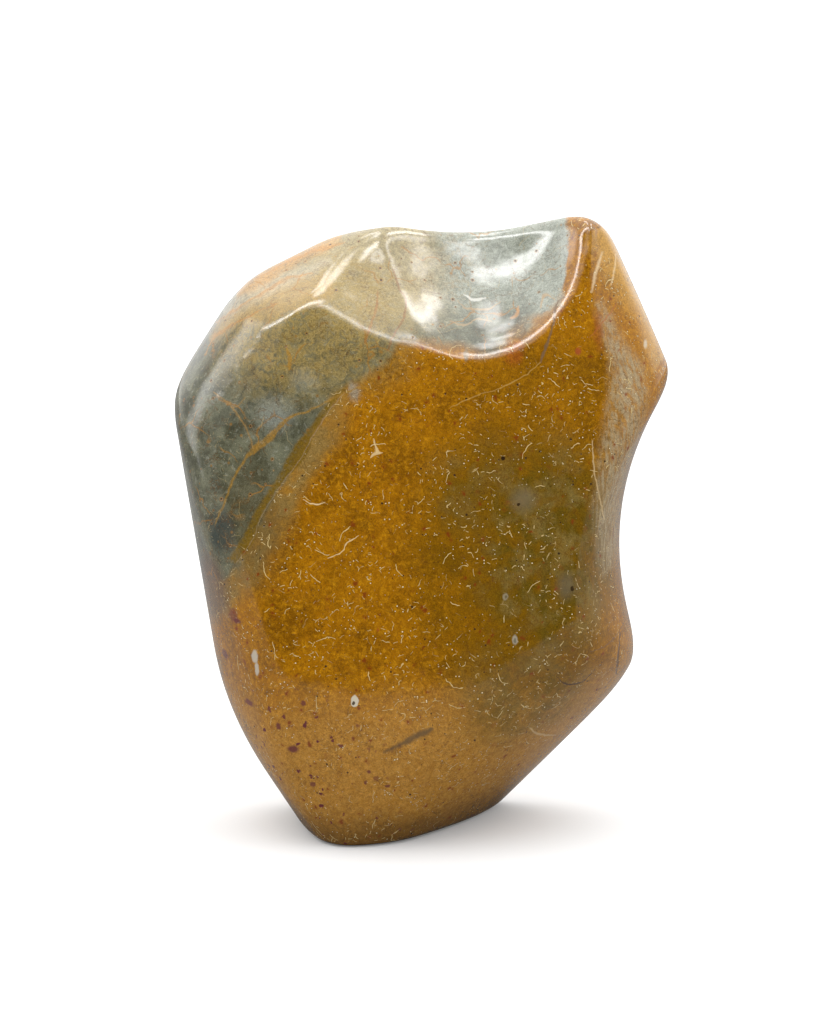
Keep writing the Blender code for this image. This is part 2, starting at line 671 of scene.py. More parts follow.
# How strongly each colour shows, along its noise.
GOLD_SHOWS = Show(0.30, 0.60)
LIGHT_GOLD_SHOWS = Show(0.42, 0.72, 0.75)
TAN_SHOWS = Show(0.26, 0.74)
BRONZE_SHOWS = Show(0.30, 0.60, 0.45, 0.55)
GREY_OLIVE_SHOWS = Show(0.42, 0.62)
OLIVE_SHOWS = Show(0.30, 0.62, 0.75, 0.25)
DRAB_SHOWS = Show(0.35, 0.60, 0.5, 0.4)
SLATE_SHOWS = Show(0.34, 0.68)
LIGHT_SLATE_SHOWS = Show(0.52, 0.75, 0.55)
TOP_LIGHTENS = Show(0.30, 0.66, 0.42, 0.72)
MOSS_SHOWS = Show(0.34, 0.60, 0.7, 0.15)
SADDLE_SHOWS = Show(0.44, 0.60)
STREAKS_SHOW = Show(0.30, 0.60, 0.5, 0.5)
RUNS_SHOW = Show(0.36, 0.60, 0.7, 0.3)
THREADS_SHOW = Show(0.44, 0.58)
CREASES_SHOW = Show(0.44, 0.56)
SEAMS_SHOW = Show(0.30, 0.62, 0.4, 0.6)
CUTS_SHOW = Show(0.40, 0.60)
HAIRS_CROWD = Show(0.40, 0.58)
FIBRES_LIGHTEN = Show(0.32, 0.68, 0.56, 0.73)

# How the zones' borders run: with the front's depth, up the foot, and over the top.
FRONT_DEPTH, FRONT_LEAN = 18.0, 0.2
TOP_DEPTH, TOP_LEAN = 6.0, 0.25
FOOT_SLOPE = 0.06

# Where the zones lie, in millimetres from the heart.
# The lower part turns tan: partly the stone's own colour, partly painted light from the floor below.
TAN_AND_PAINTED_LIGHT_FOOT = Show(-24.0, -44.0, 0.8)
DRAB_BAND = Show(-15.0, -7.0)
DRAB_LEFT = Show(-14.0, -22.0)
PALE_DISH = Show(4.0, 14.0)
PALE_TOP = Show(46.0, 54.0)
PALE_FROM = Show(-27.0, -14.0)
PALE_SHARE = 0.88
GREY_SIDE = Show(-1.5, 1.5)
# Painted shade: the foot is darkened over its last few millimetres above the floor, for the shadowed
# floor that it faces.
PAINTED_SHADE_FOOT = Show(-57.0, -67.0)
MAROON_FOOT = Show(-24.0, -40.0)
MAROON_LEFT = Show(-2.0, -22.0)

# How much of some markings shows at most, how deep the painted shade at the foot goes, and how many
# pinpoints and maroon specks stray.
SADDLE_SHARE = 0.5
THREAD_SHARE = 0.6
CREASE_SHARE = 0.45
PAINTED_SHADE_DEPTH = 0.5
GREY_HIDES = 0.75
STRAY_PINPOINTS = 0.3
STRAY_MAROON = 0.1
MAROON_TOP, MAROON_LEAN = 45.0, 0.35

# The grain of lines in the polish: the net of threads, each thread and crease, the grinding marks.
NET_CELL = 14.0
THREAD_EDGE = Show(0.28, 0.08)
CREASE_EDGE = Show(0.020, 0.004)
GRIND_MIDDLE = (-12.0, -16.0, 46.0)
GRIND_PITCH = 0.95

# Colours that several marks share.
MAROON = (0.115, 0.020, 0.022)
PIT = (0.030, 0.016, 0.006)
CHIP_WHITE = (0.500, 0.455, 0.370)
CURL_TAN = (0.430, 0.290, 0.150)
STROKE_CREAM = (0.860, 0.680, 0.420)
SPLINTER_TAN = (0.640, 0.460, 0.220)
THREAD_RUST = (0.320, 0.190, 0.060)
STREAK_RUST = (0.420, 0.200, 0.040)

# The long seam beside the blue-grey corner: a broad dark line, and a pale hair along its edge.
MAIN_SEAM = (
    (-17.0, 36.0), (-21.3, 31.1), (-24.4, 26.5), (-27.4, 21.4), (-30.5, 17.1), (-33.5, 12.7),
    (-36.2, 8.3), (-38.8, 2.2), (-42.2, -3.3),
)

# The course of the boundary between the blue-grey part and the gold, each point x and z.
GREY_EDGE = (
    (-60.0, -34.0), (-50.0, -16.0), (-42.2, -3.3), (-36.2, 8.3), (-30.5, 17.1), (-24.4, 26.5),
    (-17.5, 35.0), (-9.0, 40.5), (-2.0, 45.5), (6.0, 44.5), (14.0, 44.0), (20.6, 46.0), (27.4, 48.8),
    (33.0, 52.4), (35.4, 56.5), (37.2, 63.0), (40.0, 73.0), (60.0, 90.0),
)
GREY_EDGE_LOW = -60.0
GREY_EDGE_SPAN = 160.0

BRONZE_CLOUDS = (
    Blot((23.0, -20.0, -2.0), (24.0, 40.0, 31.0), share=0.95, fade=0.40),
    Blot((29.0, -14.0, 35.0), (15.0, 30.0, 11.0), share=0.45, fade=0.6),
)

OLIVE_CLOUDS = (
    Blot((29.0, -20.0, -1.0), (15.0, 40.0, 24.0), fade=0.40),
    Blot((24.0, -20.0, -33.0), (15.0, 40.0, 12.0), share=0.75, fade=0.5),
    Blot((12.0, -20.0, 14.0), (9.0, 40.0, 9.0), share=0.6, fade=0.6),
)

# The mossy slope, the sandy saddle behind the dish, and the grinding marks under the facet.
MOSS_SLOPE = Blot((-25.0, -8.0, 50.0), (23.0, 22.0, 17.0), fade=0.35)
SANDY_SADDLE = Blot((4.0, 4.0, 60.0), (10.0, 16.0, 9.0), share=0.8, fade=0.5)
GRIND_MARKS = Blot((-12.0, -3.0, 60.0), (7.0, 12.0, 5.0), share=0.55, fade=0.3)

# The beige hollow of the waist, and the orange brow.
WAIST = Vein(
    ((40.8, 54.0), (44.4, 45.0), (47.4, 36.0), (46.4, 26.0), (44.2, 14.0), (43.2, 4.0), (43.8, -8.0)),
    (0.7, 2.2, 4.4, 4.6, 3.8, 2.8, 1.2), (0.350, 0.275, 0.155), 0.85, 2.0,
)
BROW = Vein(
    ((41.0, 70.0), (46.5, 60.0), (52.0, 50.0), (56.5, 38.0)),
    (2.6, 3.4, 2.4, 1.2), (0.560, 0.330, 0.085), 0.7, 3.0,
)

# Orange and ochre streaks along the upper-left slope, and a milky streak that is a painted highlight
# along its soft ridge.
SLOPE_STREAKS_AND_SHEEN = (
    Vein(
        ((-48.5, 43.0), (-40.5, 50.0), (-31.0, 54.6), (-20.0, 58.0)),
        (0.5, 1.8, 3.2, 2.4), (0.390, 0.250, 0.075), 0.8, 1.2,
    ),
    # Painted highlight: this milky streak stands in for the soft sheen along the slope's ridge.
    Vein(
        ((-45.5, 49.0), (-37.5, 54.8), (-28.5, 59.0), (-20.0, 62.6)),
        (0.8, 1.4, 1.3, 0.6), (0.500, 0.450, 0.340), 0.5, 1.0,
    ),
    Vein(
        ((-42.5, 53.6), (-34.5, 58.8), (-29.5, 61.9), (-18.0, 67.2)),
        (0.7, 1.5, 1.6, 0.8), (0.500, 0.275, 0.085), 0.8, 0.8,
    ),
    Vein(
        ((-49.5, 40.0), (-45.5, 45.6), (-39.5, 50.0), (-32.0, 53.8)),
        (0.12, 0.26, 0.22, 0.12), (0.380, 0.180, 0.030), 0.8, 0.15,
    ),
    Vein(
        ((-47.0, 46.4), (-41.0, 51.6), (-33.0, 56.6), (-24.0, 60.0)),
        (0.12, 0.20, 0.28, 0.12), STREAK_RUST, 0.7, 0.2,
    ),
    Vein(
        ((-38.0, 56.8), (-30.0, 61.2), (-24.0, 63.8), (-17.0, 66.0)),
        (0.12, 0.24, 0.30, 0.12), STREAK_RUST, 0.8, 0.2,
    ),
)

STONE_PATCHES = (
    # Pale blue clouds, the dark corner by the left edge and the purple tint under it.
    Blot((-33.5, -16.0, 30.5), (4.2, 9.0, 3.4), (0.340, 0.360, 0.320), 0.42, 0.8),
    Blot((-15.0, -17.0, 34.5), (1.5, 4.0, 2.1), (0.270, 0.285, 0.240), 0.6, 0.5),
    Blot((-25.0, -15.0, 37.0), (2.6, 5.0, 2.4), (0.290, 0.310, 0.270), 0.3, 0.8),
    Blot((-45.2, -18.0, 2.5), (2.4, 8.0, 5.0), (0.022, 0.036, 0.034), 0.85, 0.5),
    Blot((-47.5, -8.0, -12.0), (5.0, 20.0, 8.0), (0.140, 0.080, 0.045), 0.8, 0.4),
    Blot((-38.0, -20.0, 5.0), (7.0, 20.0, 13.0), (0.088, 0.070, 0.030), 0.5, 0.6),
    Blot((-42.0, -22.0, -16.5), (1.6, 4.0, 1.2), (0.150, 0.030, 0.026), 0.7, 0.5),
    # Red stains below the dish and beside the brow.
    Blot((20.5, -12.0, 43.8), (2.2, 6.0, 2.0), (0.300, 0.060, 0.010), 0.5, 0.6),
    Blot((40.5, -8.0, 47.5), (1.2, 5.0, 3.6), (0.280, 0.070, 0.020), 0.45, 0.6),
    Blot((28.6, -24.0, -2.0), (1.2, 8.0, 14.0), (0.100, 0.070, 0.010), 0.5, 0.7),
)

STONE_VEINS = (
    Vein(MAIN_SEAM, (0.3, 0.6, 0.7, 1.6, 0.9, 0.75, 0.9, 1.2, 1.1), (0.165, 0.095, 0.008), 0.95, 0.45),
    Vein(
        MAIN_SEAM,
        (0.08, 0.10, 0.12, 0.10, 0.12, 0.08, 0.10, 0.08, 0.08), (0.340, 0.260, 0.160), 0.45, 0.12, 0.3,
        0.85,
    ),
    Vein(
        (
            (-13.2, 36.5), (-18.8, 34.1), (-24.0, 31.5), (-31.0, 28.0), (-34.4, 24.2), (-37.9, 21.5),
            (-40.2, 18.5), (-42.3, 14.4), (-44.1, 10.0), (-46.4, 4.6),
        ),
        (0.16, 0.26, 0.22, 0.28, 0.55, 0.75, 0.30, 0.24, 0.24, 0.14), (0.290, 0.160, 0.028), 0.9, 0.25,
    ),
    Vein(
        ((-47.0, 33.4), (-42.3, 30.3), (-38.8, 25.6), (-37.8, 22.0)),
        (0.16, 0.22, 0.20, 0.14), THREAD_RUST, 0.8, 0.18,
    ),
    Vein(((-42.3, 30.5), (-40.9, 31.2), (-39.6, 33.0)), (0.14, 0.16, 0.12), THREAD_RUST, 0.8, 0.18),
    Vein(
        ((-12.4, 45.5), (-10.9, 49.7), (-10.1, 51.9), (-9.6, 54.1), (-9.4, 56.4)),
        (0.2, 0.3, 0.25, 0.28, 0.15), (0.330, 0.160, 0.045), 0.85, 0.15,
    ),
    Vein(
        ((-7.2, 44.0), (-5.7, 47.5), (-3.9, 50.1), (-3.0, 53.1), (-4.6, 56.7), (-6.0, 60.7)),
        (0.2, 0.26, 0.25, 0.25, 0.22, 0.18), (0.230, 0.110, 0.040), 0.8, 0.15,
    ),
    Vein(
        ((-30.0, 45.0), (-29.3, 42.6), (-29.6, 39.6)),
        (0.15, 0.5, 0.15), (0.360, 0.190, 0.030), 0.85, 0.2,
    ),
)

STONE_CRACKS = (
    # The open crack under the horn, and the pale fracture that runs on from it.
    Vein(
        ((32.0, 54.5), (31.0, 53.0), (30.6, 50.1), (29.4, 46.4), (27.4, 41.2)),
        (0.14, 0.28, 0.20, 0.30, 0.16), (0.170, 0.105, 0.055), 0.85, 0.2, 0.8,
    ),
    Vein(
        ((27.4, 41.3), (22.8, 37.9), (18.3, 35.8), (13.7, 34.4), (9.7, 32.9), (6.9, 31.6)),
        (0.12, 0.09, 0.12, 0.08, 0.10, 0.05), (0.520, 0.330, 0.090), 0.55, 0.12,
    ),
    # The dark smudge on the foot.
    Vein(
        ((-8.2, -45.0), (-4.3, -43.2), (-1.0, -41.3), (3.2, -39.4)),
        (0.15, 0.5, 0.75, 0.3), (0.085, 0.058, 0.030), 0.75, 0.5,
    ),
    # Cracks at the lower right.
    Vein(
        ((31.3, -28.9), (33.2, -31.3), (36.8, -32.1), (39.1, -30.4), (40.4, -28.6)),
        (0.12, 0.24, 0.22, 0.14, 0.08), (0.060, 0.030, 0.014), 0.85, 0.12, 0.8,
    ),
    Vein(
        ((46.3, -22.5), (45.9, -27.6), (45.7, -33.5)),
        (0.12, 0.26, 0.14), (0.110, 0.055, 0.025), 0.8, 0.12, 0.7,
    ),
    Vein(
        ((38.8, -23.7), (43.0, -23.4), (48.0, -21.0)),
        (0.10, 0.15, 0.10), (0.160, 0.085, 0.040), 0.7, 0.1, 0.4,
    ),
    Vein(
        ((25.4, -42.5), (27.6, -45.4), (31.9, -48.0)),
        (0.20, 0.30, 0.12), (0.550, 0.380, 0.170), 0.7, 0.15, 0.5,
    ),
    # The reddish line beside the horn, and two pale strokes on it.
    Vein(
        ((45.0, 53.0), (42.4, 50.0), (38.6, 46.2)),
        (0.08, 0.16, 0.10), (0.360, 0.110, 0.030), 0.7, 0.12,
    ),
    Vein(((41.9, 64.5), (40.4, 60.5), (39.2, 56.0)), (0.10, 0.36, 0.12), STROKE_CREAM, 0.5, 0.30),
    Vein(((45.2, 63.5), (44.6, 60.0), (43.8, 57.0)), (0.08, 0.20, 0.08), STROKE_CREAM, 0.5, 0.25),
    # Curls in the dish.
    Vein(
        ((8.6, 53.4), (11.2, 51.6), (15.0, 51.4), (18.6, 53.0)),
        (0.10, 0.20, 0.22, 0.12), CURL_TAN, 0.6, 0.15,
    ),
    Vein(
        ((10.2, 54.6), (12.4, 53.4), (15.4, 53.6)),
        (0.12, 0.26, 0.12), (0.820, 0.800, 0.740), 0.6, 0.15,
    ),
    Vein(
        ((20.8, 49.8), (22.2, 50.6), (22.8, 52.4)),
        (0.12, 0.34, 0.14), (0.480, 0.250, 0.100), 0.7, 0.2,
    ),
    Vein(
        ((7.0, 49.4), (10.0, 48.6), (13.8, 49.6), (16.6, 49.2)),
        (0.10, 0.18, 0.16, 0.10), CURL_TAN, 0.6, 0.15,
    ),
    Vein(
        ((27.6, 52.4), (28.8, 55.0), (31.0, 54.4)),
        (0.12, 0.30, 0.14), (0.480, 0.290, 0.120), 0.6, 0.25,
    ),
    # Pale scratches on the front and by the waist.
    Vein(
        ((-26.2, 11.6), (-23.8, 10.7), (-21.2, 11.0)),
        (0.05, 0.11, 0.05), (0.800, 0.640, 0.360), 0.85, 0.1,
    ),
    Vein(
        ((-20.6, -1.1), (-17.6, 0.2), (-16.0, 2.4), (-13.6, 3.9)),
        (0.06, 0.11, 0.12, 0.06), (0.740, 0.570, 0.300), 0.85, 0.1, 0.3,
    ),
    Vein(
        ((39.2, 24.0), (39.6, 17.5), (41.0, 10.6), (42.1, 5.4)),
        (0.12, 0.16, 0.14, 0.10), (0.560, 0.400, 0.200), 0.7, 0.1,
    ),
    Vein(((-10.4, 25.0), (-9.9, 23.6), (-9.5, 22.2)), (0.08, 0.18, 0.34), SPLINTER_TAN, 0.9, 0.12),
    Vein(((-11.2, 20.9), (-9.6, 21.9), (-8.2, 22.0)), (0.08, 0.38, 0.10), SPLINTER_TAN, 0.9, 0.12),
)

# The larger maroon specks of the lower left: each middle, half width, half height and share.
MAROON_SPOTS = (
    ((-44.7, -13.0, -26.9), 0.9, 1.1, 0.8),
    ((-41.4, -22.9, -16.7), 1.0, 0.6, 0.8),
    ((-38.9, -22.6, -35.9), 1.1, 0.7, 0.85),
    ((-31.9, -30.2, -39.4), 0.6, 0.8, 0.85),
    ((-28.6, -30.7, -44.6), 1.3, 0.8, 0.9),
    ((-26.2, -32.2, -33.5), 0.6, 0.6, 0.8),
    ((-24.2, -30.0, -53.2), 0.7, 0.6, 0.8),
    ((-11.4, -31.6, -49.7), 0.5, 0.4, 0.8),
    ((-7.1, -30.9, -53.2), 0.6, 0.4, 0.8),
)

STONE_CHIPS = tuple(
    Blot(middle, (wide, 4.0, high), MAROON, share, 0.4) for middle, wide, high, share in MAROON_SPOTS
) + (
    # The white chip at the lower left, and the pale ring below the gold.
    Blot((-37.3, -27.0, -24.0), (0.80, 5.0, 1.5), CHIP_WHITE, 0.85, 0.25),
    Blot((-36.8, -27.0, -26.8), (0.50, 5.0, 1.5), CHIP_WHITE, 0.85, 0.25),
    Blot((-14.6, -32.0, -33.0), (0.85, 5.0, 1.35), (0.600, 0.540, 0.420), 0.95, 0.12),
    Blot((-14.8, -32.0, -33.4), (0.35, 4.0, 0.45), (0.060, 0.035, 0.015), 0.95, 0.2),
    # Grey ovals in the olive, each with its pit.
    Blot((23.4, -22.3, 11.3), (2.6, 6.0, 2.3), (0.190, 0.165, 0.105), 0.5, 0.8),
    Blot((22.4, -22.3, 10.3), (0.42, 4.0, 0.42), PIT, 0.95, 0.2),
    Blot((33.2, -25.3, -7.9), (2.0, 6.0, 2.8), (0.150, 0.125, 0.080), 0.55, 0.7),
    Blot((34.6, -25.0, -8.6), (0.35, 4.0, 0.55), PIT, 0.9, 0.2),
    Blot((19.4, -27.3, -10.0), (0.60, 4.0, 0.80), (0.300, 0.260, 0.170), 0.75, 0.3),
    Blot((19.5, -27.3, -10.1), (0.28, 4.0, 0.34), (0.120, 0.090, 0.045), 0.8, 0.3),
    Blot((21.6, -28.9, -19.6), (0.62, 4.0, 1.10), (0.380, 0.345, 0.260), 0.8, 0.3),
    Blot((21.6, -28.9, -19.8), (0.30, 4.0, 0.60), (0.150, 0.130, 0.090), 0.8, 0.3),
    Blot((18.9, -21.0, 20.4), (0.45, 4.0, 0.45), (0.025, 0.012, 0.005), 0.95, 0.2),
    # The white chip by the brow, the chip on the rim of the dish, the pit in its wall, and red dots.
    Blot((52.0, -3.0, 43.4), (0.5, 4.0, 1.0), (0.600, 0.530, 0.400), 0.7, 0.4),
    Blot((10.6, -14.2, 43.0), (0.6, 4.0, 1.3), (0.200, 0.170, 0.110), 0.7, 0.4),
    Blot((30.0, 1.0, 55.8), (0.6, 3.0, 1.1), (0.060, 0.050, 0.040), 0.9, 0.3),
    Blot((36.0, -11.3, 43.5), (0.7, 4.0, 0.8), (0.340, 0.070, 0.020), 0.8, 0.4),
    Blot((-9.3, -22.0, -17.0), (0.5, 9.0, 0.6), (0.360, 0.060, 0.020), 0.8, 0.4),
)


@dataclass(frozen=True)
class Reading:
    """Where a finish is read.

    Args:
        place: the place, in millimetres from the heart.
        drift: the same place, moved about so that edges wander.
        normal: the way the surface looks.
    """

    place: Signal
    drift: Signal
    normal: Signal

    @property
    def bench(self) -> NodeBench:
        """The finish's node tree."""
        return self.place.bench


@dataclass(frozen=True)
class JasperFinish:
    """Polished jasper: gold body, blue-grey corner, olive clouds, seams, pits and fine pale hairs.

    Args:
        golds: the gold body's deep, middle and light colours.
        greys: the blue-grey corner's dark, middle and light colours.
        tans: the lower part's deep and light tan colours, partly its own colour and partly painted light
            from the floor below.
        olives: the olive clouds' dark and grey colours.
        tops: the top's sand colour on the left and its pale blue in the dish.
        bronze: the brown-gold round the olive clouds.
        moss: the ochre green of the upper-left slope.
        drab: the band of gold under the blue-grey corner.
        beige: the saddle behind the dish.
        rust: the threads in the blue-grey, and the rings round its pits.
        hair: the pale hairs.
        pinpoint: the palest dots.
        pit: the open pits.
        maroon: the specks of the foot.
        russet: the specks of the gold.
        crease: the folded lines of the gold.
        roughness: how dull the polish is.
        dulled: how much duller it is in places.
        swell: the share of the broad ripple in the relief.
        tooth: the share of the fine ripple in the relief.
        sunk: the share of the pits and cracks in the relief.
        bump: how strongly the relief shows.
        bump_height: the height of the relief, in metres.
        refraction: the index of refraction of chalcedony.
    """

    golds: Tuple[Tint, Tint, Tint] = (
        (0.195, 0.076, 0.0006), (0.310, 0.121, 0.0007), (0.500, 0.225, 0.004),
    )
    greys: Tuple[Tint, Tint, Tint] = (
        (0.062, 0.062, 0.036), (0.150, 0.150, 0.095), (0.310, 0.312, 0.240),
    )
    tans: Tuple[Tint, Tint] = ((0.360, 0.160, 0.014), (0.500, 0.255, 0.045))
    olives: Tuple[Tint, Tint] = ((0.115, 0.070, 0.004), (0.190, 0.128, 0.030))
    tops: Tuple[Tint, Tint] = ((0.370, 0.300, 0.155), (0.330, 0.350, 0.295))
    bronze: Tint = (0.160, 0.075, 0.001)
    moss: Tint = (0.330, 0.232, 0.070)
    drab: Tint = (0.250, 0.160, 0.045)
    beige: Tint = (0.350, 0.275, 0.155)
    rust: Tint = (0.330, 0.150, 0.020)
    hair: Tint = (0.760, 0.560, 0.240)
    pinpoint: Tint = (0.860, 0.720, 0.430)
    pit: Tint = PIT
    maroon: Tint = MAROON
    russet: Tint = (0.190, 0.040, 0.004)
    crease: Tint = (0.105, 0.042, 0.004)
    roughness: float = 0.13
    dulled: float = 0.06
    swell: float = 0.9
    tooth: float = 0.05
    sunk: float = 0.35
    bump: float = 0.35
    bump_height: float = 0.0004
    refraction: float = 1.54

    def material(self, heart: Vector) -> bpy.types.Material:
        """Builds the material.

        Args:
            heart: the heart's place in the scene, in metres.

        Returns:
            The material.
        """
        made = bpy.data.materials.new(SLOT_NAME)
        made.use_nodes = True
        bench = NodeBench(made.node_tree)
        where = bench.node("ShaderNodeTexCoord")
        shift = tuple(-MM_PER_METRE * c for c in heart)
        factor = (MM_PER_METRE,) * 3
        place = bench.vector("MULTIPLY_ADD", bench.signal(where, "Object"), factor, shift)
        at = Reading(place, WANDER.moved(SWIRL.moved(place)), bench.signal(where, "Normal"))
        colour, grey = self.body(at)
        colour = self.patches(at, colour)
        colour = self.seams(at, colour, grey)
        colour, relief = self.flecks(at, colour, grey)
        colour, relief = self.landmarks(at, colour, relief)
        looks = {
            "Base Color": colour,
            "Roughness": self.sheen(place),
            "IOR": self.refraction,
            "Normal": self.ripple(place, relief),
        }
        polish = bench.node("ShaderNodeBsdfPrincipled", looks)
        out = bench.node("ShaderNodeOutputMaterial")
        bench.tree.links.new(polish.outputs[0], out.inputs["Surface"])
        return made

    def body(self, at: Reading) -> Tuple[Signal, Signal]:
        """The large colour zones.

        Args:
            at: where the finish is read.

        Returns:
            The colour, and how far the place is in the blue-grey corner.
        """
        bench, drift = at.bench, at.drift
        grit, tinge = GRIT.at(at.place), TINGE.at(drift)
        gold = bench.blend(GOLD_SHOWS.of(BILLOWS.at(drift)), self.golds[0], self.golds[1])
        gold = bench.blend(LIGHT_GOLD_SHOWS.of(grit), gold, self.golds[2])
        x, y, z = bench.parts(drift)
        lean = x + (y + FRONT_DEPTH) * FRONT_LEAN
        tan = bench.blend(TAN_SHOWS.of(grit), self.tans[0], self.tans[1])
        # Painted light in part: the lower part turns a lighter tan, as if lit from the floor below.
        colour = bench.blend(TAN_AND_PAINTED_LIGHT_FOOT.of(z - lean * FOOT_SLOPE), gold, tan)
        bronze = self.joined_mask(BRONZE_CLOUDS, drift)
        colour = bench.blend(bronze * BRONZE_SHOWS.of(tinge), colour, self.bronze)
        olive = bench.blend(GREY_OLIVE_SHOWS.of(tinge), self.olives[0], self.olives[1])
        clouds = self.joined_mask(OLIVE_CLOUDS, drift) * OLIVE_SHOWS.of(OLIVE_RAGS.at(drift))
        colour = bench.blend(clouds, colour, olive)
        gap = z - self.grey_edge(lean)
        band = DRAB_BAND.of(gap) * DRAB_LEFT.of(lean)
        colour = bench.blend(band * DRAB_SHOWS.of(tinge), colour, self.drab)
        dim = bench.blend(SLATE_SHOWS.of(SLATE.at(drift)), self.greys[0], self.greys[1])
        dim = bench.blend(LIGHT_SLATE_SHOWS.of(grit), dim, self.greys[2])
        top = bench.blend(PALE_DISH.of(lean), self.tops[0], self.tops[1])
        top = bench.shade(top, TOP_LIGHTENS.of(grit))
        height = z - (y + TOP_DEPTH) * TOP_LEAN
        dim = bench.blend(PALE_TOP.of(height) * PALE_FROM.of(lean) * PALE_SHARE, dim, top)
        grey = GREY_SIDE.of(gap)
        return bench.blend(grey, colour, dim), grey

    @staticmethod
    def joined_mask(blots: Sequence[Blot], place: Signal) -> Signal:
        """Where any of the patches is.

        Args:
            blots: the patches.
            place: the place, in millimetres from the heart.

        Returns:
            The share, from 0 outside them all.
        """
        mask = blots[0].mask(place)
        for blot in blots[1:]:
            mask = mask.most(blot.mask(place))
        return mask

    @staticmethod
    def grey_edge(lean: Signal) -> Signal:
        """The boundary of the blue-grey corner.

        Args:
            lean: the place along the front, in millimetres.

        Returns:
            The boundary's height there.
        """
        line = [tuple((c - GREY_EDGE_LOW) / GREY_EDGE_SPAN for c in spot) for spot in GREY_EDGE]
        way = (lean - GREY_EDGE_LOW) / GREY_EDGE_SPAN
        return lean.bench.curve(way, line) * GREY_EDGE_SPAN + GREY_EDGE_LOW

    def patches(self, at: Reading, colour: Signal) -> Signal:
        """The moss, the slope's streaks with a painted highlight among them, the beige waist and the
        smaller patches over the zones.

        Args:
            at: where the finish is read.
            colour: the colour of the zones.

        Returns:
            The colour.
        """
        bench, place, drift = at.bench, at.place, at.drift
        mottle = MOTTLE.at(place)
        colour = bench.blend(MOSS_SLOPE.mask(drift) * MOSS_SHOWS.of(mottle), colour, self.moss)
        saddle = SANDY_SADDLE.mask(drift) * SADDLE_SHOWS.of(mottle) * SADDLE_SHARE
        colour = bench.blend(saddle, colour, self.beige)
        swayed = PATCH_SWAY.moved(place)
        # The slope's streaks, one of them a painted highlight.
        for streak in SLOPE_STREAKS_AND_SHEEN:
            colour = bench.blend(streak.mask(swayed) * STREAKS_SHOW.of(mottle), colour, streak.tint)
        runs = WAIST_RUNS.at(bench.vector("MULTIPLY", place, RUNS_STRETCH))
        colour = bench.blend(WAIST.mask(swayed) * RUNS_SHOW.of(runs), colour, WAIST.tint)
        colour = bench.blend(BROW.mask(drift), colour, BROW.tint)
        ragged = PATCH_RAGS.moved(drift)
        for patch in STONE_PATCHES:
            colour = patch.laid(ragged, colour)
        return colour

    def seams(self, at: Reading, colour: Signal, grey: Signal) -> Signal:
        """The rust threads, the creases, the drawn seams, the grinding marks, and painted shade darkening
        the foot.

        Args:
            at: where the finish is read.
            colour: the colour so far.
            grey: how far the place is in the blue-grey corner.

        Returns:
            The colour.
        """
        bench, place = at.bench, at.place
        net = bench.signal(bench.cells(NET_SWAY.moved(place), NET_CELL, True)) * NET_CELL
        thread = THREAD_EDGE.of(net) * THREADS_SHOW.of(THREADS.at(place)) * grey
        colour = bench.blend(thread * THREAD_SHARE, colour, self.rust)
        fold = (FOLDS.at(place) - 0.5).size()
        crease = CREASE_EDGE.of(fold) * CREASES_SHOW.of(CREASES.at(place))
        colour = bench.blend(crease * CREASE_SHARE, colour, self.crease)
        swayed = SEAM_SWAY.moved(place)
        worn = SEAMS_SHOW.of(WEAR.at(place))
        for vein in STONE_VEINS:
            colour = bench.blend(vein.mask(swayed) * worn, colour, vein.tint)
        ring = bench.vector("LENGTH", bench.vector("SUBTRACT", RING_SWAY.moved(place), GRIND_MIDDLE))
        lines = bench.math("SINE", ring * (2.0 * math.pi / GRIND_PITCH)) * 0.5 + 0.5
        cut = GRIND_MARKS.mask(place) * lines * CUTS_SHOW.of(CUT_PATCHES.at(place))
        colour = bench.blend(cut, colour, self.moss)
        # Painted shade: the colour is darkened towards the foot, standing in for the shadowed floor
        # beneath it.
        foot = PAINTED_SHADE_FOOT.of(bench.parts(at.drift)[2])
        return bench.shade(colour, 1.0 - foot * PAINTED_SHADE_DEPTH)

    @staticmethod
    def strewn(
        colour: Signal, marks: Tuple[Signal, Signal], kind: Fleck, share: Signal, tint: Tint
    ) -> Signal:
        """The colour with one kind of fleck strewn over it, each with a painted shadow darkening its
        edge.

        Args:
            colour: the colour so far.
            marks: where the flecks are, and their edges.
            kind: the kind of fleck.
            share: how much of them shows.
            tint: their colour.

        Returns:
            The colour.
        """
        core, rim = marks
        # Painted shadow: the edge round each fleck is darkened as if the fleck stood up from the polish.
        colour = colour.bench.shade(colour, 1.0 - rim * kind.ring * share)
        return colour.bench.blend(core * kind.strength * share, colour, tint)

